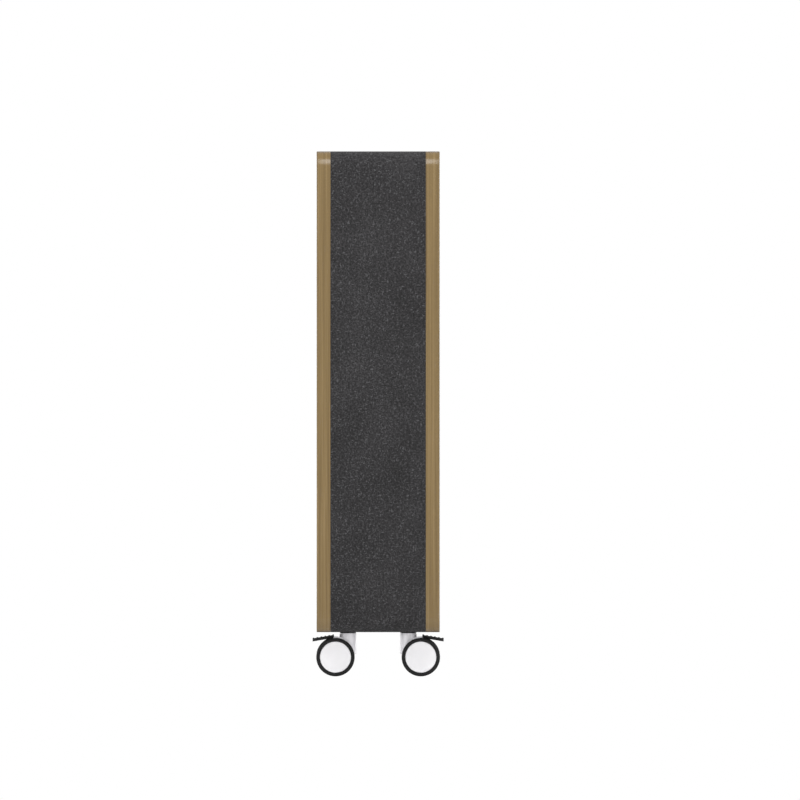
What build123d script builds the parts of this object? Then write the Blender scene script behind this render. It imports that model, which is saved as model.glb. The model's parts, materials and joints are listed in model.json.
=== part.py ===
from build123d import *
import os
from math import acos, cos, degrees, radians, sin, tan

# Free-standing partition wall on four braked twin-wheel castors.
# X runs along the wall, Y through it from the front face to the rear face, Z up from the floor.
# The origin is on the floor, under the middle of the wall. All sizes are in millimetres.

# --- the wall as a whole ---
wall_length = 1600.0
wall_depth = 320.0
wall_height = 1365.0
underside_height = 115.0
corner_radius = 40.0

# --- face boards, one on each side of the core ---
board_thickness = 36.0
board_edge_round = 1.5

# --- felt band around the core ---
felt_thickness = 3.0

# --- plywood carcass inside the band ---
ply_thickness = 18.0
bottom_ply_thickness = 24.0
corner_block_size = 60.0
upright_count = 2

# --- dowels between the carcass and the boards ---
dowel_diameter = 10.0
dowel_length = 50.0
dowel_pitch = 230.0
glue_gap = 0.1

# --- castors: places ---
castor_inset = 120.0
castor_track = 157.0

# --- castors: wheels ---
wheel_diameter = 100.0
wheel_width = 23.0
wheel_side_gap = 1.5
tyre_thickness = 9.6
tread_round = 5.0
hub_setback = 0.5
rim_thickness = 4.5
disc_thickness = 4.0
disc_setback = 3.0
hub_boss_diameter = 20.0
cap_thickness = 2.2
cap_side = 1.0
cap_bevel = 0.8
cap_crown = 0.4
cap_crown_width = 4.0
clip_length = 2.5
clip_thickness = 2.0
axle_diameter = 8.0
swivel_trail = 32.5

# --- castors: swivel housing ---
barrel_diameter = 43.0
barrel_bottom = 58.0
barrel_edge = 0.6
swivel_gap = 2.4
hood_reach = 53.8
hood_end = 36.0
hood_sweep = 27.0
hood_depth = 25.0
web_radius = 24.0
web_inset = 2.0
pedal_ear_radius = 7.5

# --- castors: brake pedal ---
pedal_pivot_out = 34.0
pedal_pivot_height = 94.0
pedal_pin_diameter = 5.0
pedal_inner = 36.3
pedal_tip = 92.0
pedal_top = 108.2
pedal_slope = 9.5
pedal_width = 64.0
pedal_plate = 8.2
pedal_corner = 7.0
pedal_edge = 0.8
pedal_rib_count = 6
pedal_rib_width = 4.5
pedal_rib_height = 1.3
rib_taper = 20.0
rib_margin = 7.0
pedal_tyre_gap = 4.0
apron_outer_radius = 51.6
apron_lift = 1.5
apron_thickness = 3.0
apron_foot_angle = 12.0
apron_neck_angle = 62.0
apron_top_angle = 76.0
pedal_arm_width = 16.0
arm_root_radius = 1.5

# --- castors: stem, collar and fixing plate ---
stem_diameter = 16.0
stem_foot = 66.0
stem_chamfer = 1.5
collar_diameter = 36.0
collar_rim_setback = 0.5
collar_play = 1.5
collar_gap = 0.5
collar_recess = 1.5
plate_size = 90.0
plate_thickness = 5.0
nut_across_flats = 24.0
nut_height = 13.0
stem_above_nut = 4.0
screw_diameter = 5.0
screw_length = 24.0
screw_head_diameter = 10.0
screw_head_height = 3.0
screw_inset = 12.0

# --- fits ---
running_fit = 0.05
fixed_fit = 0.02
hole_play = 0.5
moving_gap = 1.0

# --- worked out from the sizes above ---
body_height = wall_height - underside_height
body_middle = underside_height + body_height / 2
core_half = wall_depth / 2 - board_thickness
core_depth = 2 * core_half
core_length = wall_length - 2 * felt_thickness
core_height = body_height - 2 * felt_thickness
core_corner = corner_radius - felt_thickness
carcass_end_x = wall_length / 2 - felt_thickness
carcass_foot = underside_height + felt_thickness
carcass_head = wall_height - felt_thickness
block_inner_x = carcass_end_x - corner_block_size
bottom_top = carcass_foot + bottom_ply_thickness
top_under = carcass_head - ply_thickness
axle_height = wheel_diameter / 2
axle_x = Axis((0, swivel_trail, axle_height), (1, 0, 0))
housing_half = barrel_diameter / 2
wheel_inner_x = housing_half + wheel_side_gap
wheel_outer_x = wheel_inner_x + wheel_width
barrel_top = underside_height - swivel_gap
collar_foot = barrel_top - collar_recess + collar_gap
stem_top = bottom_top + plate_thickness + nut_height + stem_above_nut
castor_x = wall_length / 2 - castor_inset
castor_spots = [(sx * castor_x, sy * castor_track / 2) for sx in (-1, 1) for sy in (-1, 1)]
screw_span = plate_size - 2 * screw_inset
rim_radius = wheel_diameter / 2 - tyre_thickness - fixed_fit


def save(piece, name):
    """Label a finished piece and write it under its own name."""
    piece.part.label = name
    export_step(piece.part, f"parts/{name}.step")


def spread(half_span, pitch):
    """Evenly spaced places, centred on zero, no further apart than the pitch."""
    steps = max(1, round(2 * half_span / pitch))
    return [-half_span + 2 * half_span * i / steps for i in range(steps + 1)]


# Dowel places as (x, z), one row along the middle of each carcass panel.
dowel_margin = 45.0
row_half = block_inner_x - dowel_margin
column_half = body_height / 2 - felt_thickness - corner_block_size - dowel_margin
end_panel_x = carcass_end_x - ply_thickness / 2
top_dowels = [(x, carcass_head - ply_thickness / 2) for x in spread(row_half, dowel_pitch)]
bottom_dowels = [(x, carcass_foot + bottom_ply_thickness / 2) for x in spread(row_half, dowel_pitch)]
column_dowels = [body_middle + z for z in spread(column_half, dowel_pitch)]
left_dowels = [(-end_panel_x, z) for z in column_dowels]
right_dowels = [(end_panel_x, z) for z in column_dowels]
all_dowels = top_dowels + bottom_dowels + left_dowels + right_dowels


def face_plane(side):
    """The plane where a board meets the core: side -1 is the front, +1 the rear. Its normal is -Y."""
    return Plane.XZ.offset(-side * core_half)


# ---------------------------------------------------------------- face boards
def make_board(side):
    """One rounded face board with blind dowel holes in its inner face."""
    with BuildPart() as board:
        with BuildSketch(face_plane(side)):
            with Locations((0, body_middle)):
                RectangleRounded(wall_length, body_height, corner_radius)
        extrude(amount=-side * board_thickness)
        outer_face = board.faces().sort_by(Axis.Y)[0 if side < 0 else -1]
        fillet(outer_face.edges(), radius=board_edge_round)
        with BuildSketch(face_plane(side)):
            with Locations(*all_dowels):
                Circle(dowel_diameter / 2 + glue_gap)
        extrude(amount=-side * (dowel_length / 2 + hole_play), mode=Mode.SUBTRACT)
    return board


# ---------------------------------------------------------------- felt band
def make_felt_band():
    """The band that wraps the core, open towards both boards, with a hole at each castor."""
    with BuildPart() as band:
        with BuildSketch(Plane.XZ):
            with Locations((0, body_middle)):
                RectangleRounded(wall_length, body_height, corner_radius)
                RectangleRounded(core_length, core_height, core_corner, mode=Mode.SUBTRACT)
        extrude(amount=core_half, both=True)
        with BuildSketch(Plane.XY.offset(underside_height)):
            with Locations(*castor_spots):
                Circle(collar_diameter / 2 + collar_play)
        extrude(amount=felt_thickness, mode=Mode.SUBTRACT)
    return band


# ---------------------------------------------------------------- carcass
def make_panel(length, height, middle, spots):
    """A plywood panel as deep as the core, with blind dowel holes in its two long edges."""
    with BuildPart() as panel:
        with Locations((middle[0], 0, middle[1])):
            Box(length, core_depth, height)
        for side in (-1, 1):
            with BuildSketch(face_plane(side)):
                with Locations(*spots):
                    Circle(dowel_diameter / 2 + glue_gap)
            extrude(amount=side * (dowel_length / 2 + hole_play), mode=Mode.SUBTRACT)
    return panel


def make_carcass_bottom():
    """The bottom panel carries the castors: a stem hole and four screw holes at each."""
    middle = (0, carcass_foot + bottom_ply_thickness / 2)
    blank = make_panel(2 * block_inner_x, bottom_ply_thickness, middle, bottom_dowels)
    with BuildPart() as panel:
        add(blank.part)
        with BuildSketch(Plane.XY.offset(bottom_top)):
            with Locations(*castor_spots):
                Circle(stem_diameter / 2 + hole_play)
        extrude(amount=-bottom_ply_thickness, mode=Mode.SUBTRACT)
        with BuildSketch(Plane.XY.offset(bottom_top)):
            with Locations(*castor_spots):
                with GridLocations(screw_span, screw_span, 2, 2):
                    Circle(screw_diameter / 2 + glue_gap)
        extrude(amount=-(screw_length - plate_thickness + hole_play), mode=Mode.SUBTRACT)
    return panel


def make_corner_block(end, level):
    """A solid block that carries the band around one corner: end and level are -1 or +1."""
    block_x = end * (core_length - corner_block_size) / 2
    block_z = body_middle + level * (core_height - corner_block_size) / 2
    with BuildPart() as block:
        with BuildSketch(Plane.XZ):
            with Locations((0, body_middle)):
                RectangleRounded(core_length, core_height, core_corner)
            with Locations((block_x, block_z)):
                Rectangle(corner_block_size, corner_block_size, mode=Mode.INTERSECT)
        extrude(amount=core_half, both=True)
    return block


def make_upright(x):
    """An inner panel that stops the boards from drumming and holds the top up."""
    with BuildPart() as upright:
        with Locations((x, 0, (bottom_top + top_under) / 2)):
            Box(ply_thickness, core_depth, top_under - bottom_top)
    return upright


def make_dowels(side):
    """The dowels between one board and the carcass, half in each."""
    with BuildPart() as dowels:
        with BuildSketch(face_plane(side)):
            with Locations(*all_dowels):
                Circle(dowel_diameter / 2)
        extrude(amount=dowel_length / 2, both=True)
    return dowels


# ---------------------------------------------------------------- castor fixings
def make_castor_plates():
    with BuildPart() as plates:
        with BuildSketch(Plane.XY.offset(bottom_top)):
            with Locations(*castor_spots):
                RectangleRounded(plate_size, plate_size, screw_inset / 2)
                Circle(stem_diameter / 2 + running_fit, mode=Mode.SUBTRACT)
                with GridLocations(screw_span, screw_span, 2, 2):
                    Circle(screw_diameter / 2 + hole_play / 2, mode=Mode.SUBTRACT)
        extrude(amount=plate_thickness)
    return plates


def make_plate_screws():
    plate_face = bottom_top + plate_thickness
    with BuildPart() as screws:
        with BuildSketch(Plane.XY.offset(plate_face)):
            with Locations(*castor_spots):
                with GridLocations(screw_span, screw_span, 2, 2):
                    Circle(screw_diameter / 2)
        extrude(amount=-screw_length)
        with BuildSketch(Plane.XY.offset(plate_face)):
            with Locations(*castor_spots):
                with GridLocations(screw_span, screw_span, 2, 2):
                    Circle(screw_head_diameter / 2)
        extrude(amount=screw_head_height)
    return screws


def make_castor_stems():
    with BuildPart() as stems:
        with BuildSketch(Plane.XY.offset(stem_foot)):
            with Locations(*castor_spots):
                Circle(stem_diameter / 2)
        extrude(amount=stem_top - stem_foot)
        chamfer(stems.edges().group_by(Axis.Z)[-1], length=stem_chamfer)
    return stems


def make_castor_nuts():
    with BuildPart() as nuts:
        with BuildSketch(Plane.XY.offset(bottom_top + plate_thickness)):
            with Locations(*castor_spots):
                RegularPolygon(nut_across_flats / 2, side_count=6, major_radius=False)
                Circle(stem_diameter / 2 + running_fit, mode=Mode.SUBTRACT)
        extrude(amount=nut_height)
    return nuts


def make_castor_collars():
    """Black washers under the bottom panel: a foot sunk in the swivel barrel and a rim as wide as it."""
    with BuildPart() as collars:
        with BuildSketch(Plane.XY.offset(collar_foot)):
            with Locations(*castor_spots):
                Circle(collar_diameter / 2)
                Circle(stem_diameter / 2 + running_fit, mode=Mode.SUBTRACT)
        extrude(amount=carcass_foot - collar_foot)
        with BuildSketch(Plane.XY.offset(barrel_top + collar_gap)):
            with Locations(*castor_spots):
                Circle(barrel_diameter / 2 - collar_rim_setback)
                Circle(collar_diameter / 2, mode=Mode.SUBTRACT)
        extrude(amount=swivel_gap - collar_gap)
    return collars


# ---------------------------------------------------------------- one castor
# A castor is drawn with its swivel axis on Z and its wheels trailing towards +Y.
radial_plane = Plane(origin=(0, swivel_trail, axle_height), x_dir=(1, 0, 0), z_dir=(0, -1, 0))


def housing_web(clearance=0.0):
    """Side outline of the housing from the axle to the pedal's ears, or that outline with room around it."""
    ear_top = pedal_pivot_height + pedal_ear_radius
    with BuildSketch(mode=Mode.PRIVATE) as core:
        with Locations((swivel_trail, axle_height)):
            Circle(web_radius + clearance)
        with Locations((pedal_pivot_out, pedal_pivot_height)):
            Circle(pedal_ear_radius + clearance)
        with Locations((0, (barrel_bottom + ear_top) / 2)):
            Rectangle(web_inset, ear_top - barrel_bottom - 2 * web_inset)
    return make_hull(core.edges(), mode=Mode.PRIVATE)


def make_housing():
    """Swivel barrel, hood between the wheels and the two ears that hold the pedal pin."""
    arm_slot = pedal_arm_width / 2 + hole_play
    ear_top = pedal_pivot_height + pedal_ear_radius
    with BuildPart() as housing:
        with BuildSketch(Plane.YZ):
            with BuildLine():
                hood_start = degrees(acos((hood_end - swivel_trail) / hood_reach))
                hood = CenterArc((swivel_trail, axle_height), hood_reach, hood_start, hood_sweep)
                hood_foot = ear_top - hood_depth
                Polyline(hood @ 1, (0, (hood @ 1).Y), (0, hood_foot), (hood_end, hood_foot), hood @ 0)
            make_face()
            add(housing_web())
        extrude(amount=housing_half, both=True)
        with BuildSketch(Plane.XY.offset(barrel_bottom)):
            Circle(housing_half)
        extrude(amount=barrel_top - barrel_bottom)
        chamfer(housing.edges().group_by(Axis.Z)[-1], length=barrel_edge)
        # slot for the pedal's arm
        slot_inner = pedal_pivot_out - pedal_ear_radius - hole_play
        with Locations((0, slot_inner, pedal_pivot_height - pedal_ear_radius - moving_gap)):
            Box(
                2 * arm_slot, barrel_diameter, barrel_diameter,
                align=(Align.CENTER, Align.MIN, Align.MIN), mode=Mode.SUBTRACT,
            )
        # recess that the collar's foot stands in
        with BuildSketch(Plane.XY.offset(barrel_top)):
            Circle(collar_diameter / 2 + collar_gap)
        extrude(amount=-collar_recess, mode=Mode.SUBTRACT)
        # blind bore for the stem, axle bore and pedal pin bore
        with BuildSketch(Plane.XY.offset(barrel_top)):
            Circle(stem_diameter / 2 + running_fit)
        extrude(amount=-(barrel_top - stem_foot + moving_gap), mode=Mode.SUBTRACT)
        with BuildSketch(Plane.YZ):
            with Locations((swivel_trail, axle_height)):
                Circle(axle_diameter / 2 + fixed_fit)
            with Locations((pedal_pivot_out, pedal_pivot_height)):
                Circle(pedal_pin_diameter / 2 + fixed_fit)
        extrude(amount=housing_half, both=True, mode=Mode.SUBTRACT)
    return housing


def make_pins():
    """The steel axle and the steel pedal pin."""
    axle_half = wheel_outer_x - cap_thickness - moving_gap
    with BuildPart() as pins:
        with BuildSketch(Plane.YZ):
            with Locations((swivel_trail, axle_height)):
                Circle(axle_diameter / 2)
        extrude(amount=axle_half, both=True)
        with BuildSketch(Plane.YZ):
            with Locations((pedal_pivot_out, pedal_pivot_height)):
                Circle(pedal_pin_diameter / 2)
        extrude(amount=housing_half - moving_gap, both=True)
    return pins


def make_pedal():
    """Ribbed tread plate, curved apron between the wheels and the arm to the pedal pin."""
    drop = tan(radians(pedal_slope))
    under = pedal_top - pedal_plate
    neck_half = housing_half - hole_play

    def along(out, start):
        return (out, start - (out - pedal_inner) * drop)

    with BuildPart() as pedal:
        # tread plate
        with BuildSketch(Plane.YZ):
            with BuildLine():
                Polyline(
                    along(pedal_inner, pedal_top), along(pedal_tip, pedal_top),
                    along(pedal_tip, under), along(pedal_inner, under), close=True,
                )
            make_face()
        extrude(amount=pedal_width / 2, both=True)
        fillet(pedal.edges().filter_by(Axis.Z).group_by(Axis.Y)[-1], radius=pedal_corner)
        plate_faces = pedal.faces().sort_by(Axis.Z)
        outline = plate_faces[0].edges() + plate_faces[-1].edges()
        fillet(outline.filter_by(Axis.X, reverse=True), radius=pedal_edge)
        # room over the tyres, each side of the neck
        for side in (-1, 1):
            with BuildSketch(Plane.YZ.offset(side * neck_half)):
                with Locations((swivel_trail, axle_height)):
                    Circle(wheel_diameter / 2 + pedal_tyre_gap)
            extrude(amount=side * pedal_width / 2, mode=Mode.SUBTRACT)
        # ribs across the tread
        slope_out = cos(radians(pedal_slope))
        slope_up = sin(radians(pedal_slope))
        tread = Plane(origin=(0, pedal_inner, pedal_top), x_dir=(1, 0, 0), z_dir=(0, slope_up, slope_out))
        tread_length = (pedal_tip - pedal_inner) / slope_out
        rib_pitch = (tread_length - pedal_rib_width) / (pedal_rib_count - 1)
        with BuildSketch(tread):
            with Locations((0, tread_length / 2)):
                with GridLocations(pedal_width, rib_pitch, 1, pedal_rib_count):
                    Rectangle(pedal_width - 2 * rib_margin, pedal_rib_width)
        extrude(amount=pedal_rib_height, taper=rib_taper)
        # apron and neck
        with BuildSketch(Plane.YZ):
            with BuildLine():
                hub = (swivel_trail - apron_lift, axle_height + apron_lift)
                inner_radius = apron_outer_radius - apron_thickness
                sweep_all = apron_top_angle - apron_foot_angle
                inner = CenterArc(hub, inner_radius, apron_foot_angle, sweep_all)
                outer = CenterArc(hub, apron_outer_radius, apron_foot_angle, apron_neck_angle - apron_foot_angle)
                neck = outer @ 1
                top = inner @ 1
                Line(inner @ 0, outer @ 0)
                middle = (pedal_top + under) / 2
                Polyline(neck, along(neck.X, middle), along(top.X, middle), top)
            make_face()
        extrude(amount=neck_half, both=True)
        # room round the housing, over its whole width
        with BuildSketch(Plane.YZ):
            add(housing_web(moving_gap))
        extrude(amount=housing_half + hole_play, both=True, mode=Mode.SUBTRACT)
        # arm to the pin
        with BuildSketch(Plane.YZ):
            with BuildSketch(mode=Mode.PRIVATE) as arm:
                with Locations((pedal_pivot_out, pedal_pivot_height)):
                    Circle(pedal_ear_radius - moving_gap)
                with Locations(top, along(top.X, middle)):
                    Circle(arm_root_radius)
            add(make_hull(arm.edges(), mode=Mode.PRIVATE))
        extrude(amount=pedal_arm_width / 2, both=True)
        with BuildSketch(Plane.YZ):
            with Locations((pedal_pivot_out, pedal_pivot_height)):
                Circle(pedal_pin_diameter / 2 + running_fit)
        extrude(amount=pedal_width, both=True, mode=Mode.SUBTRACT)
    return pedal


def make_hub(side):
    """White wheel body: rim, disc and boss. Side is +1 or -1 along the axle."""
    boss = hub_boss_diameter / 2
    bore = axle_diameter / 2 + running_fit
    rim_inner = rim_radius - rim_thickness
    rim_face = wheel_width - cap_thickness
    disc_face = rim_face - disc_setback
    disc_back = disc_face - disc_thickness
    with BuildPart() as hub:
        with BuildSketch(radial_plane):
            with BuildLine():
                outline = [
                    (hub_setback, bore), (hub_setback, boss), (disc_back, boss),
                    (disc_back, rim_inner), (hub_setback, rim_inner), (hub_setback, rim_radius),
                    (rim_face, rim_radius), (rim_face, rim_inner), (disc_face, rim_inner), (disc_face, bore),
                ]
                Polyline(*[(side * (wheel_inner_x + x), r) for x, r in outline], close=True)
            make_face()
        revolve(axis=axle_x)
    return hub


def make_cap(side):
    """Plain round cover on the wheel's outer face, clipped inside the rim."""
    clip_outer = rim_radius - rim_thickness - fixed_fit
    clip_inner = clip_outer - clip_thickness
    back = wheel_outer_x - cap_thickness
    with BuildPart() as cap:
        with BuildSketch(radial_plane):
            with BuildLine():
                outline = [
                    (back, 0), (back, clip_inner), (back - clip_length, clip_inner),
                    (back - clip_length, clip_outer), (back, clip_outer), (back, rim_radius),
                    (back + cap_side, rim_radius), (wheel_outer_x - cap_crown, rim_radius - cap_bevel),
                    (wheel_outer_x, rim_radius - cap_crown_width), (wheel_outer_x, 0),
                ]
                Polyline(*[(side * x, r) for x, r in outline], close=True)
            make_face()
        revolve(axis=axle_x)
    return cap


def make_tyre(side):
    with BuildPart() as tyre:
        with BuildSketch(radial_plane) as section:
            middle_x = side * (wheel_inner_x + wheel_width / 2)
            with Locations((middle_x, (wheel_diameter - tyre_thickness) / 2)):
                Rectangle(wheel_width, tyre_thickness)
            fillet(section.vertices().group_by(Axis.Y)[-1], radius=tread_round)
        revolve(axis=axle_x)
    return tyre


# ---------------------------------------------------------------- write every piece
os.makedirs("parts", exist_ok=True)

save(make_board(-1), "front_board")
save(make_board(1), "rear_board")
save(make_felt_band(), "felt_band")

top_middle = (0, carcass_head - ply_thickness / 2)
save(make_panel(2 * block_inner_x, ply_thickness, top_middle, top_dowels), "carcass_top")
save(make_carcass_bottom(), "carcass_bottom")
end_height = core_height - 2 * corner_block_size
save(make_panel(ply_thickness, end_height, (-end_panel_x, body_middle), left_dowels), "carcass_end_left")
save(make_panel(ply_thickness, end_height, (end_panel_x, body_middle), right_dowels), "carcass_end_right")
for level, level_name in ((-1, "bottom"), (1, "top")):
    for end, end_name in ((-1, "left"), (1, "right")):
        save(make_corner_block(end, level), f"corner_block_{level_name}_{end_name}")
bay = 2 * block_inner_x / (upright_count + 1)
for number in range(upright_count):
    save(make_upright((number + 1) * bay - block_inner_x), f"inner_upright_{number + 1}")

save(make_dowels(-1), "front_dowels")
save(make_dowels(1), "rear_dowels")
save(make_castor_plates(), "castor_plates")
save(make_plate_screws(), "plate_screws")
save(make_castor_stems(), "castor_stems")
save(make_castor_nuts(), "castor_nuts")
save(make_castor_collars(), "castor_collars")

castor_pieces = {"housing": make_housing(), "pins": make_pins(), "pedal": make_pedal()}
for side, side_name in ((-1, "minus"), (1, "plus")):
    castor_pieces[f"{side_name}_hub"] = make_hub(side)
    castor_pieces[f"{side_name}_cap"] = make_cap(side)
    castor_pieces[f"{side_name}_tyre"] = make_tyre(side)

# The wheels trail outwards at rest, so the front castors are turned half round.
for end, end_name in ((-1, "left"), (1, "right")):
    for face, face_name in ((-1, "front"), (1, "rear")):
        place = Location((end * castor_x, face * castor_track / 2, 0), (0, 0, 0 if face > 0 else 180))
        # the wheel nearer the wall's end is called outer, the other inner
        wheel_names = {"plus": "outer", "minus": "inner"}
        if end * face < 0:
            wheel_names = {"plus": "inner", "minus": "outer"}
        for piece_name, piece in castor_pieces.items():
            first, _, rest = piece_name.partition("_")
            own_name = f"{wheel_names[first]}_{rest}" if first in wheel_names else piece_name
            placed = piece.part.moved(place)
            placed.label = f"{face_name}_{end_name}_{own_name}"
            export_step(placed, f"parts/{placed.label}.step")
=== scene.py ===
import json
import math

import bpy
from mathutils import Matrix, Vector


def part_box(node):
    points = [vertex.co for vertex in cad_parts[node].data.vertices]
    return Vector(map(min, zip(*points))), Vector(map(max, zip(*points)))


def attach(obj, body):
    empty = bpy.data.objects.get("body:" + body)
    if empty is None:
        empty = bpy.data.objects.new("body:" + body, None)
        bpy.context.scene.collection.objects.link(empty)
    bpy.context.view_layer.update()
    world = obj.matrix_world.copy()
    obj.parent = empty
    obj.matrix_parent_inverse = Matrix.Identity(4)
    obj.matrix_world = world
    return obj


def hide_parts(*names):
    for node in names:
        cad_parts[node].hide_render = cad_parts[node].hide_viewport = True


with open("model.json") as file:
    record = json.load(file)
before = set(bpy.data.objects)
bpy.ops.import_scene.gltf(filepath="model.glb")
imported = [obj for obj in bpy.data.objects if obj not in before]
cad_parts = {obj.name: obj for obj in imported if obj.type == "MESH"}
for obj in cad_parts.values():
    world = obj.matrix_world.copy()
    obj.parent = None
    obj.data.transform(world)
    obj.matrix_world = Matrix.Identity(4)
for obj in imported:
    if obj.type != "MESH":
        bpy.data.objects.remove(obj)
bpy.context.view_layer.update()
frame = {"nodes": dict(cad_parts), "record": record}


def clearSelection():
    if bpy.context.object and bpy.context.object.mode != "OBJECT":
        bpy.ops.object.mode_set(mode="OBJECT")
    bpy.ops.object.select_all(action="DESELECT")


def startBlock(name, low, high):  # a block between two corners, selected and in edit mode
    clearSelection()
    middle = [(a + b) / 2 for a, b in zip(low, high)]
    size = [b - a for a, b in zip(low, high)]
    bpy.ops.mesh.primitive_cube_add(size=1, location=middle, scale=size)
    piece = bpy.context.object
    piece.name = name
    piece.data.name = name
    bpy.ops.object.transform_apply(location=True, rotation=True, scale=True)
    bpy.ops.object.mode_set(mode="EDIT")
    return piece


def pick(piece, kind, test):  # select the faces or edges that pass the test, and nothing else
    bpy.ops.object.mode_set(mode="EDIT")
    bpy.ops.mesh.select_mode(type=kind)
    bpy.ops.mesh.select_all(action="DESELECT")
    bpy.ops.object.mode_set(mode="OBJECT")
    mesh = piece.data
    if kind == "FACE":
        for face in mesh.polygons:
            face.select = bool(test(face.center, face.normal))
    else:
        for edge in mesh.edges:
            ends = [mesh.vertices[i].co for i in edge.vertices]
            edge.select = bool(test(ends[0], ends[1]))
    bpy.ops.object.mode_set(mode="EDIT")


def same(a, b, slack=1e-5):
    return abs(a - b) < slack


def alongY(a, b):  # true for an edge that runs from the front to the rear
    return same(a.x, b.x) and same(a.z, b.z) and not same(a.y, b.y, 1e-4)


def cutAcross(piece, point, normal):  # a bisect all the way through
    bpy.ops.object.mode_set(mode="EDIT")
    bpy.ops.mesh.select_all(action="SELECT")
    bpy.ops.mesh.bisect(plane_co=point, plane_no=normal)


def applyModifier(piece, kind, **settings):
    bpy.ops.object.mode_set(mode="OBJECT")
    bpy.context.view_layer.objects.active = piece
    modifier = piece.modifiers.new(kind.title(), kind)
    for key, value in settings.items():
        setattr(modifier, key, value)
    bpy.ops.object.modifier_apply(modifier=modifier.name)


def closePiece(piece, smoothAngle=35, mergeWithin=0.00002):  # outward faces, smooth shading
    bpy.ops.object.mode_set(mode="EDIT")
    bpy.ops.mesh.select_all(action="SELECT")
    bpy.ops.mesh.remove_doubles(threshold=mergeWithin)
    bpy.ops.mesh.normals_make_consistent(inside=False)
    bpy.ops.object.mode_set(mode="OBJECT")
    piece.select_set(True)
    bpy.context.view_layer.objects.active = piece
    bpy.ops.object.shade_smooth_by_angle(angle=math.radians(smoothAngle))


class Wire:  # a socket that can stand in a sum
    def __init__(self, finish, socket):
        self.finish = finish
        self.socket = socket

    def maths(self, operation, first, second):
        return self.finish.add("ShaderNodeMath", {"operation": operation}, {0: first, 1: second})

    def __add__(self, other):
        return self.maths("ADD", self, other)

    def __radd__(self, other):
        return self.maths("ADD", other, self)

    def __sub__(self, other):
        return self.maths("SUBTRACT", self, other)

    def __rsub__(self, other):
        return self.maths("SUBTRACT", other, self)

    def __mul__(self, other):
        return self.maths("MULTIPLY", self, other)

    def __rmul__(self, other):
        return self.maths("MULTIPLY", other, self)

    def __truediv__(self, other):
        return self.maths("DIVIDE", self, other)

    def __pow__(self, other):
        return self.maths("POWER", self, other)

    def __abs__(self):
        return self.maths("ABSOLUTE", self, 0)

    def floor(self):
        return self.maths("FLOOR", self, 0)

    def atMost(self, limit):
        return self.maths("MINIMUM", self, limit)

    def step(self, low, high):  # 0 below low, 1 above high, smooth between
        settings = {"interpolation_type": "SMOOTHSTEP"}
        return self.finish.add("ShaderNodeMapRange", settings, {0: self, 1: low, 2: high, 3: 0, 4: 1})


class Finish:  # one material and the node calls that fill it
    def __init__(self, name, **constants):
        self.material = bpy.data.materials.new(name)
        self.material.use_nodes = True
        self.tree = self.material.node_tree
        self.shader = self.tree.nodes["Principled BSDF"]
        for socket, value in constants.items():
            self.shader.inputs[socket.replace("_", " ")].default_value = value

    def add(self, nodeType, settings, values, out=0):
        node = self.tree.nodes.new(nodeType)
        for key, value in settings.items():
            if key == "stops":
                ramp = node.color_ramp.elements
                while len(ramp) < len(value):
                    ramp.new(0.5)
                for stop, (place, colour) in zip(ramp, value):
                    stop.position = place
                    stop.color = (*colour, 1)
            else:
                setattr(node, key, value)
        for key, value in values.items():
            if isinstance(value, Wire):
                self.tree.links.new(value.socket, node.inputs[key])
            else:
                node.inputs[key].default_value = value
        return Wire(self, node.outputs[out])

    def point(self, scale=(1, 1, 1), shift=(0, 0, 0)):  # a place on the piece, stretched by scale
        where = self.add("ShaderNodeTexCoord", {}, {}, "Object")
        if scale == (1, 1, 1) and shift == (0, 0, 0):
            return where
        values = {"Vector": where, "Scale": scale, "Location": shift}
        return self.add("ShaderNodeMapping", {}, values)

    def parts(self, nodeType, vector):  # the three numbers of a place, a direction or a colour
        node = self.add(nodeType, {}, {0: vector}).socket.node
        return [Wire(self, socket) for socket in node.outputs]

    def axes(self):
        return self.parts("ShaderNodeSeparateXYZ", self.point())

    def facing(self):
        return self.parts("ShaderNodeSeparateXYZ", self.add("ShaderNodeNewGeometry", {}, {}, "Normal"))

    def noise(self, vector, scale=1.0, detail=2.0, rough=0.5, distort=0.0):
        values = {"Vector": vector, "Scale": scale, "Detail": detail,
                  "Roughness": rough, "Distortion": distort}
        return self.add("ShaderNodeTexNoise", {}, values, "Fac")

    def ramp(self, factor, stops):
        return self.add("ShaderNodeValToRGB", {"stops": stops}, {0: factor}, "Color")

    def mix(self, factor, first, second, blend="MIX"):
        settings = {"data_type": "RGBA", "blend_type": blend}
        first, second = [c if isinstance(c, Wire) else (*c, 1) for c in (first, second)]
        return self.add("ShaderNodeMix", settings, {0: factor, 6: first, 7: second}, 2)

    def bump(self, height, strength, distance):
        values = {"Height": height, "Strength": strength, "Distance": distance}
        return self.add("ShaderNodeBump", {}, values, "Normal")

    def wear(self, **links):  # what changes over the surface
        for socket, wire in links.items():
            self.tree.links.new(wire.socket, self.shader.inputs[socket.replace("_", " ")])
        return self.material


def linear(level):  # one screen level, 0 to 255, as the linear number that Blender mixes
    return ((level / 255 + 0.055) / 1.055) ** 2.4 if level > 10 else level / 255 / 12.92


def rgb(red, green, blue):
    return tuple(linear(level) for level in (red, green, blue))


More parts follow.
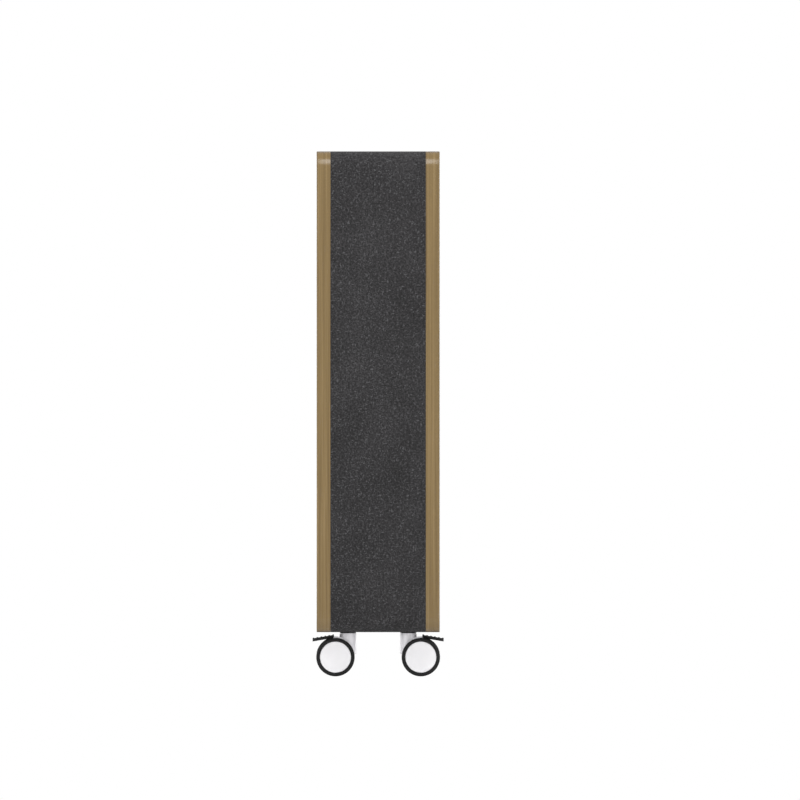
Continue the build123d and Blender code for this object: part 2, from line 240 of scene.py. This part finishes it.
# oiled oak: lengths in metres, and each pattern's stretch along x, y and z
oakLook = {
    "stave": 0.114, "seed": 7.3, "treeSpread": 0.16, "pithInside": 0.02, "pithSpread": 0.09,
    "ringsPerMetre": 150.0, "ringShift": 40, "drift": (0.9, 0.9, 0.55), "driftScale": 2.2,
    "waver": (9, 9, 1.5), "waverScale": 1.4, "cloud": (2.5, 2.5, 1.2), "pores": (900, 900, 22),
    "edgeFrom": (0.55, 0.8), "endGrainAndShadeFrom": (0.86, 0.99), "poresFrom": (0.62, 0.72),
    "faceFibre": (330, 12, 4.5), "edgeFibre": (3, 460, 3.2),
    "faceStreak": (120, 6, 1.6), "edgeStreak": (1.5, 280, 1.3), "streakShift": (0, 5, 0),
    "arrisBand": 0.0032, "arrisFade": 0.0002, "arrisShadeShare": 0.3, "poreShare": 0.45, "endGrainAndShadeShare": 0.9,
    "dark": rgb(99, 80, 49), "mid": rgb(114, 94, 59), "light": rgb(129, 108, 72),
    "pore": rgb(84, 66, 40), "endGrainAndShade": rgb(78, 60, 36), "warmth": rgb(255, 244, 226),
}


def makeOak(name):  # edge-glued upright staves, each from its own tree
    finish = Finish(name, Specular_IOR_Level=0.5)
    low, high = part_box("rear_board")
    boardMiddle = (low[1] + high[1]) / 2
    outerFace = high[1]
    x, y, z = finish.axes()
    stave = (x / oakLook["stave"] + 0.5).floor()
    chance = finish.add("ShaderNodeTexWhiteNoise", {"noise_dimensions": "1D"},
                        {"W": stave + oakLook["seed"]}, "Color")
    first, second, third = finish.parts("ShaderNodeSeparateColor", chance)
    facing = finish.facing()
    onEdge = 1 - abs(facing[1]).step(*oakLook["edgeFrom"])
    endGrainAndShade = abs(facing[2]).step(*oakLook["endGrainAndShadeFrom"])  # cut across the fibres: partly real end grain, partly painted shade on faces looking up and down
    drift = finish.noise(finish.point(oakLook["drift"]), oakLook["driftScale"]) - 0.5
    waver = finish.noise(finish.point(oakLook["waver"]), oakLook["waverScale"]) - 0.5
    # growth rings stand round the tree's pith on the faces
    across = x - stave * oakLook["stave"] + (first - 0.5) * oakLook["treeSpread"]
    depth = abs(y) - boardMiddle + oakLook["pithInside"] + second * oakLook["pithSpread"]
    lean = z * (third - 0.5) * 0.03
    radius = (across * across + depth * depth) ** 0.5 + drift * 0.05 + waver * 0.006 + lean
    edgeLine = abs(y) + drift * 0.02 + waver * 0.002  # on a board's edge they are seen side on
    line = radius + (edgeLine - radius) * onEdge
    ringPlace = line * oakLook["ringsPerMetre"] + first * oakLook["ringShift"]
    rings = finish.add("ShaderNodeTexNoise", {"noise_dimensions": "1D"},
                       {"W": ringPlace, "Scale": 1.0, "Detail": 3.0}, "Fac")
    faceFibre = finish.noise(finish.point(oakLook["faceFibre"]), detail=3, rough=0.6)
    edgeFibre = finish.noise(finish.point(oakLook["edgeFibre"]), detail=3, rough=0.6)
    fibre = faceFibre + (edgeFibre - faceFibre) * onEdge
    faceStreak = finish.noise(finish.point(oakLook["faceStreak"]))
    edgeStreak = finish.noise(finish.point(oakLook["edgeStreak"], oakLook["streakShift"]))
    streak = faceStreak + (edgeStreak - faceStreak) * onEdge
    pores = finish.noise(finish.point(oakLook["pores"])).step(*oakLook["poresFrom"])
    cloud = finish.noise(finish.point(oakLook["cloud"]))
    staveTone = (second - 0.5) * 0.12 * (1 - onEdge)
    tone = rings * 0.3 + fibre * 0.3 + streak * 0.3 + cloud * 0.1 + staveTone
    stops = [(0.4, oakLook["dark"]), (0.5, oakLook["mid"]), (0.6, oakLook["light"])]
    colour = finish.ramp(tone, stops)
    colour = finish.mix(third * 0.35 * (1 - onEdge), colour, oakLook["warmth"], "MULTIPLY")
    colour = finish.mix(pores * oakLook["poreShare"], colour, oakLook["pore"])
    arris = abs(y).step(outerFace - oakLook["arrisBand"], outerFace + oakLook["arrisFade"])
    colour = finish.mix(arris * oakLook["arrisShadeShare"], colour, oakLook["pore"])  # painted shade along the outer arris
    # end grain darker, and also painted shade on the faces that look up and down
    colour = finish.mix(endGrainAndShade * oakLook["endGrainAndShadeShare"], colour, oakLook["endGrainAndShade"])
    rough = 0.22 + fibre * 0.1 + pores * 0.1 - cloud * 0.04 + endGrainAndShade * 0.45
    height = fibre * 0.5 + rings * 0.3 - pores * 0.8
    return finish.wear(Base_Color=colour, Roughness=rough, Normal=finish.bump(height, 0.25, 0.0003))


# wool felt: how many of each mark fit in a metre, and how the two sets of flecks are drawn out
feltLook = {"clumps": 190, "grit": 420, "patches": 9, "flecksAcross": 330, "flecksUp": 300,
            "acrossStretch": (1, 0.45, 1), "upStretch": (1, 1, 0.4), "upShift": (3, 1, 2),
            "acrossFrom": (0.6, 0.74), "upFrom": (0.62, 0.76), "fleckTwist": 0.8,
            "dark": rgb(31, 31, 31), "mid": rgb(44, 43, 44), "light": rgb(62, 61, 62),
            "fleck": rgb(97, 97, 99), "fleckShare": 0.55}


def makeFelt(name):  # grey wool felt with paler fibres in it
    finish = Finish(name, Specular_IOR_Level=0.1, Sheen_Weight=0.03, Sheen_Roughness=0.6)
    clump = finish.noise(finish.point(), feltLook["clumps"], 3, 0.6)
    grit = finish.noise(finish.point(), feltLook["grit"], 2, 0.6)
    twist = feltLook["fleckTwist"]
    across = finish.noise(finish.point(feltLook["acrossStretch"]), feltLook["flecksAcross"], 1, 0.4, twist)
    flecksAcross = across.step(*feltLook["acrossFrom"])
    upPoint = finish.point(feltLook["upStretch"], feltLook["upShift"])
    flecksUp = finish.noise(upPoint, feltLook["flecksUp"], 1, 0.4, twist).step(*feltLook["upFrom"])
    patch = finish.noise(finish.point(), feltLook["patches"])
    tone = clump * 0.5 + grit * 0.35 + patch * 0.15
    stops = [(0.39, feltLook["dark"]), (0.5, feltLook["mid"]), (0.61, feltLook["light"])]
    colour = finish.ramp(tone, stops)
    flecks = (flecksAcross + flecksUp).atMost(1)
    colour = finish.mix(flecks * feltLook["fleckShare"], colour, feltLook["fleck"])
    rough = 0.86 + grit * 0.12
    height = clump * 0.6 + grit * 0.5 + flecks * 0.4
    return finish.wear(Base_Color=colour, Roughness=rough, Normal=finish.bump(height, 0.6, 0.0012))


plyLook = {"plies": (6, 6, 700), "figure": (3, 40, 40), "dark": rgb(176, 146, 105),
           "light": rgb(214, 188, 146)}


def makePly(name):  # birch plywood: pale face veneer over thin plies
    finish = Finish(name, Specular_IOR_Level=0.4)
    plies = finish.noise(finish.point(plyLook["plies"]), 1.0, 1, 0.4)
    figure = finish.noise(finish.point(plyLook["figure"]), 1.0, 3, 0.55, 0.4)
    colour = finish.ramp(figure * 0.7 + plies * 0.3, [(0.35, plyLook["dark"]), (0.62, plyLook["light"])])
    rough = 0.5 + figure * 0.15
    return finish.wear(Base_Color=colour, Roughness=rough, Normal=finish.bump(figure, 0.2, 0.0004))


dowelLook = {"grain": (800, 20, 800), "dark": rgb(188, 158, 116), "light": rgb(224, 200, 160)}


def makeDowelWood(name):
    finish = Finish(name, Specular_IOR_Level=0.4)
    grain = finish.noise(finish.point(dowelLook["grain"]), 1.0, 3, 0.6)
    colour = finish.ramp(grain, [(0.35, dowelLook["dark"]), (0.65, dowelLook["light"])])
    rough = 0.55 + grain * 0.15
    return finish.wear(Base_Color=colour, Roughness=rough, Normal=finish.bump(grain, 0.2, 0.0002))


plateLook = {"tint": rgb(186, 186, 184), "lines": (1600, 30, 30)}  # rolled streaks
turnedLook = {"tint": rgb(200, 200, 201), "lines": (60, 60, 2200)}  # rings from the lathe
platingLook = {"bloom": 140, "dulled": 0.78}


def makeSteel(name, look):  # zinc-plated steel
    finish = Finish(name, Metallic=1.0)
    lines = finish.noise(finish.point(look["lines"]))
    bloom = finish.noise(finish.point(), platingLook["bloom"], 3, 0.6)
    dull = tuple(level * platingLook["dulled"] for level in look["tint"])
    colour = finish.mix(bloom * 0.4, look["tint"], dull)
    rough = 0.26 + lines * 0.12 + bloom * 0.1
    return finish.wear(Base_Color=colour, Roughness=rough, Normal=finish.bump(lines, 0.15, 0.0001))


# moulded plastics: gloss is the specular level, grain how many dimples fit in a metre
housingLook = {"pale": rgb(249, 247, 251), "dull": rgb(243, 242, 246),
               "gloss": 0.5, "rough": 0.36, "grain": 900, "scuffs": 0.12}
wheelLook = {"pale": rgb(234, 233, 235), "dull": rgb(229, 228, 230),
             "gloss": 0.5, "rough": 0.34, "grain": 900, "scuffs": 0.1}
pedalLook = {"pale": rgb(20, 20, 21), "dull": rgb(31, 31, 32),
             "gloss": 0.25, "rough": 0.5, "grain": 1100, "scuffs": 0.3}
mouldMarks = {"cloud": 28, "scratches": (90, 520, 90), "scratchesFrom": (0.62, 0.7)}


def makeMoulded(name, look):  # plastic with a fine grain and light scuffs
    finish = Finish(name, Specular_IOR_Level=look["gloss"])
    grain = finish.noise(finish.point(), look["grain"])
    cloud = finish.noise(finish.point(), mouldMarks["cloud"], 3, 0.55)
    scratch = finish.noise(finish.point(mouldMarks["scratches"])).step(*mouldMarks["scratchesFrom"])
    dulled = cloud.step(0.35, 0.75) * 0.5 + scratch * look["scuffs"]
    colour = finish.mix(dulled, look["pale"], look["dull"])
    rough = look["rough"] + grain * 0.1 + scratch * 0.1
    return finish.wear(Base_Color=colour, Roughness=rough, Normal=finish.bump(grain, 0.18, 0.00025))


tyreLook = {"rubber": rgb(23, 23, 24), "dusty": rgb(50, 49, 48), "grain": 700, "dust": 55}


def makeTread(name):  # soft black tyre with a little floor dust on it
    finish = Finish(name, Specular_IOR_Level=0.25)
    grain = finish.noise(finish.point(), tyreLook["grain"], 2, 0.6)
    dust = finish.noise(finish.point(), tyreLook["dust"], 3, 0.6).step(0.5, 0.75)
    colour = finish.mix(dust * 0.25 + grain * 0.1, tyreLook["rubber"], tyreLook["dusty"])
    rough = 0.62 + grain * 0.12 + dust * 0.1
    return finish.wear(Base_Color=colour, Roughness=rough, Normal=finish.bump(grain, 0.25, 0.0003))


finishes = {
    "board_wood": makeOak("oiled_oak"),
    "band_felt": makeFelt("wool_felt"),
    "plywood": makePly("birch_plywood"),
    "dowel_wood": makeDowelWood("beech_dowel"),
    "plate_steel": makeSteel("plated_steel", plateLook),
    "bright_steel": makeSteel("turned_steel", turnedLook),
    "castor_white": makeMoulded("housing_white", housingLook),
    "wheel_white": makeMoulded("wheel_white", wheelLook),
    "black_plastic": makeMoulded("pedal_black", pedalLook),
    "tyre": makeTread("soft_tyre"),
}
print("finishes made:", len(finishes))

for row in frame["record"]["subparts"]:  # every carried-over node gets its finish
    node = frame["nodes"][row["node"]]
    node.data.materials.clear()
    node.data.materials.append(finishes[row["material_slot"]])

boardShape = {"corner": 0.040, "cornerSteps": 18, "arris": 0.0015, "arrisSteps": 3}


def makeBoard(name, node):
    low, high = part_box(node)
    piece = startBlock(name, low, high)
    pick(piece, "EDGE", alongY)
    bpy.ops.mesh.bevel(offset=boardShape["corner"], segments=boardShape["cornerSteps"], profile=0.5)
    outerY = max(low[1], high[1], key=abs)
    pick(piece, "EDGE", lambda a, b: same(a.y, outerY) and same(b.y, outerY))
    bpy.ops.mesh.bevel(offset=boardShape["arris"], segments=boardShape["arrisSteps"], profile=0.5)
    closePiece(piece)
    piece.data.materials.append(finishes["board_wood"])
    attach(piece, "wall")
    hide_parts(node)


makeBoard("front_oak_board", "front_board")
makeBoard("rear_oak_board", "rear_board")
print("boards made")

feltShape = {"corner": 0.040, "cornerSteps": 16, "thickness": 0.003, "softEdge": 0.0009, "seam": 0.0008,
             "collarRim": 0.021, "collarHole": 0.0195, "holeSides": 48, "cutterLength": 0.02,
             "edgeSteps": 2, "sharpAngle": 50}


def cutCollarHoles(piece, underside):  # one hole round each castor's collar
    low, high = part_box("castor_collars")
    rim = feltShape["collarRim"]
    clearSelection()
    cutters = []
    for x in (low[0] + rim, high[0] - rim):
        for y in (low[1] + rim, high[1] - rim):
            bpy.ops.mesh.primitive_cylinder_add(
                vertices=feltShape["holeSides"], radius=feltShape["collarHole"],
                depth=feltShape["cutterLength"], location=(x, y, underside))
            cutters.append(bpy.context.object)
    for cutter in cutters:
        applyModifier(piece, "BOOLEAN", operation="DIFFERENCE", solver="EXACT", object=cutter)
    clearSelection()
    for cutter in cutters:
        bpy.data.objects.remove(cutter)


def makeFeltBand():  # one strip round the core, its two ends meeting under the middle
    low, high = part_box("felt_band")
    piece = startBlock("felt_wrap", low, high)
    pick(piece, "FACE", lambda middle, normal: abs(normal.y) > 0.9)
    bpy.ops.mesh.delete(type="ONLY_FACE")
    pick(piece, "EDGE", alongY)
    bpy.ops.mesh.bevel(offset=feltShape["corner"], segments=feltShape["cornerSteps"], profile=0.5)
    halfSeam = feltShape["seam"] / 2
    for side in (-1, 1):
        cutAcross(piece, (side * halfSeam, 0, 0), (1, 0, 0))

    def inSeam(middle, normal):
        return same(middle.x, 0, halfSeam / 2) and same(middle.z, low[2], 0.01)

    pick(piece, "FACE", inSeam)
    bpy.ops.mesh.delete(type="FACE")
    bpy.ops.mesh.select_all(action="SELECT")
    bpy.ops.mesh.normals_make_consistent(inside=False)
    applyModifier(piece, "SOLIDIFY", thickness=feltShape["thickness"], offset=-1)
    cutCollarHoles(piece, low[2])
    applyModifier(piece, "BEVEL", width=feltShape["softEdge"], segments=feltShape["edgeSteps"],
                  limit_method="ANGLE", angle_limit=math.radians(feltShape["sharpAngle"]))
    closePiece(piece, feltShape["sharpAngle"])
    piece.data.materials.append(finishes["band_felt"])
    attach(piece, "wall")
    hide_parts("felt_band")


makeFeltBand()

# the floor melts into the white backdrop between the two distances of fade
floorLook = {"size": 8.0, "fade": (1.4, 3.2), "mottle": 24, "dark": rgb(247, 247, 247),
             "light": rgb(250, 250, 250)}


def makeFloor():
    clearSelection()
    bpy.ops.mesh.primitive_plane_add(size=floorLook["size"], location=(0, 0, 0))
    floor = bpy.context.object
    floor.name = "floor"
    paper = Finish("pale_floor", Specular_IOR_Level=0.2)
    mottle = paper.noise(paper.point(), floorLook["mottle"], 3, 0.6)
    colour = paper.ramp(mottle, [(0.3, floorLook["dark"]), (0.7, floorLook["light"])])
    x, y = paper.axes()[:2]
    gone = ((x * x + y * y) ** 0.5).step(*floorLook["fade"])
    floor.data.materials.append(paper.wear(Base_Color=colour, Alpha=1 - gone))


skyLook = {"light": 0.64, "seen": 1.0}


def makeSky():  # a soft sky for the light, and a whiter one behind the wall
    world = bpy.data.worlds.new("studio_sky")
    bpy.context.scene.world = world
    world.use_nodes = True
    tree = world.node_tree
    light = tree.nodes["Background"]
    seen = tree.nodes.new("ShaderNodeBackground")
    swap = tree.nodes.new("ShaderNodeMixShader")
    path = tree.nodes.new("ShaderNodeLightPath")
    for sky, strength in ((light, skyLook["light"]), (seen, skyLook["seen"])):
        sky.inputs["Color"].default_value = (1, 1, 1, 1)
        sky.inputs["Strength"].default_value = strength
    tree.links.new(path.outputs["Is Camera Ray"], swap.inputs[0])
    tree.links.new(light.outputs[0], swap.inputs[1])
    tree.links.new(seen.outputs[0], swap.inputs[2])
    tree.links.new(swap.outputs[0], tree.nodes["World Output"].inputs[0])


# power in watts, angles in degrees, strength in watts per square metre
keyBox = {"away": 2.3, "height": 2.64, "aimHeight": 0.75, "size": (1.17, 1.25), "power": 24.5}
lowSun = {"rise": 3, "spread": 24, "strength": 1.02}


def addLamp(name, kind, place, towards):  # a lamp whose light leaves it along towards
    lamp = bpy.data.lights.new(name, kind)
    holder = bpy.data.objects.new(name, lamp)
    bpy.context.scene.collection.objects.link(holder)
    holder.location = place
    holder.rotation_euler = towards.to_track_quat("-Z", "Y").to_euler()
    return lamp


def makeLights():  # a soft box over each side, and a low wide sun from each corner
    aim = Vector((0, 0, keyBox["aimHeight"]))
    sunRise = math.sqrt(2) * math.tan(math.radians(lowSun["rise"]))
    for name, x, y in (("end", 1, 0), ("far_end", -1, 0), ("front", 0, -1), ("rear", 0, 1)):
        place = Vector((x * keyBox["away"], y * keyBox["away"], keyBox["height"]))
        box = addLamp(name + "_key", "AREA", place, aim - place)
        box.shape = "RECTANGLE"
        box.size, box.size_y = keyBox["size"]
        box.energy = keyBox["power"]
        sun = addLamp(name + "_fill", "SUN", (0, 0, 0), -Vector((x - y, x + y, sunRise)))
        sun.energy = lowSun["strength"]
        sun.angle = math.radians(lowSun["spread"])


cameraPlace = {"fieldWidth": 2.08, "aimY": 0.0568, "aimZ": 0.7186, "distance": 5.0}


def makeCamera():  # square on to the end of the wall
    camera = bpy.data.objects.new("camera", bpy.data.cameras.new("camera"))
    bpy.context.scene.collection.objects.link(camera)
    camera.data.type = "ORTHO"
    camera.data.ortho_scale = cameraPlace["fieldWidth"]
    camera.location = (cameraPlace["distance"], cameraPlace["aimY"], cameraPlace["aimZ"])
    camera.rotation_euler = (math.radians(90), 0, math.radians(90))
    bpy.context.scene.camera = camera
    bpy.context.scene.view_settings.view_transform = "Standard"
    bpy.context.scene.view_settings.look = "None"


makeFloor()
makeSky()
makeLights()
makeCamera()
print("studio set")
